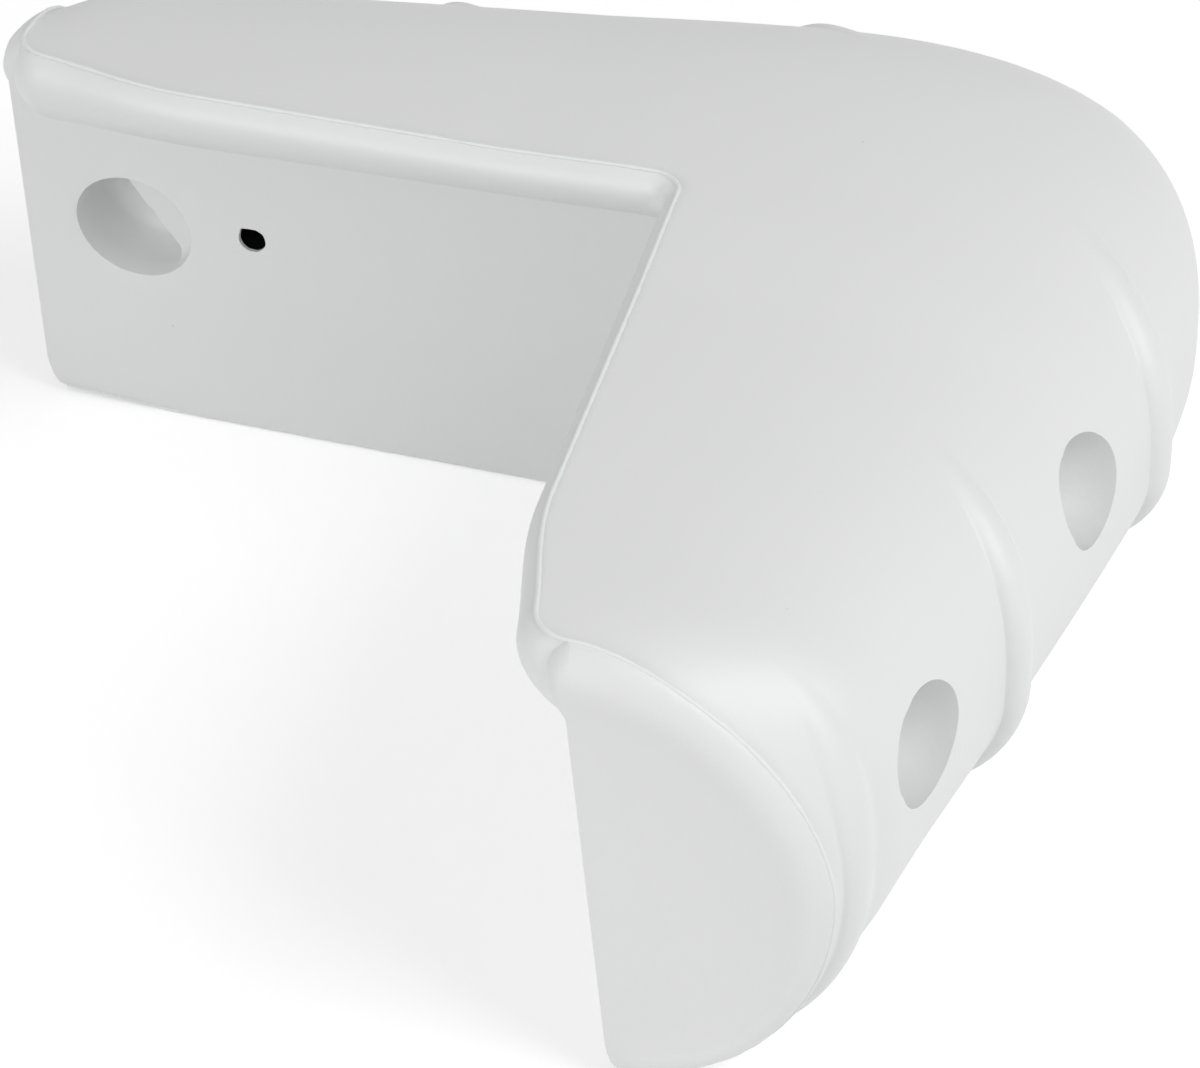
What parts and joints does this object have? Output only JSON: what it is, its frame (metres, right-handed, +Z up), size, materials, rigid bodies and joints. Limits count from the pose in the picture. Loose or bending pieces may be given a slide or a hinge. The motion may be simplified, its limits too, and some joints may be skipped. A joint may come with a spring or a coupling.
{
  "type": "dock corner bumper",
  "caption": "Hollow L-shaped bumper that hooks over a dock's outside corner, with tapering D-section arms, cross ribs, mounting tunnels and blind pockets.",
  "frame": {"origin": "middle of the base: the centre of the bounding box in plan, at the height of the bottom edges that the bumper stands on", "axes": "+Z up, as the bumper sits on a deck; the arms run along -X and -Y from the deck corner, the nose points to +X +Y, and the plane x = y is the mirror plane"},
  "size_m": [0.2742, 0.2742, 0.108],
  "materials": {
    "bumper_body": "satin"
  },
  "bodies": {
    "root": {"bumper_body": "bumper_body"}
  },
  "joints": []
}
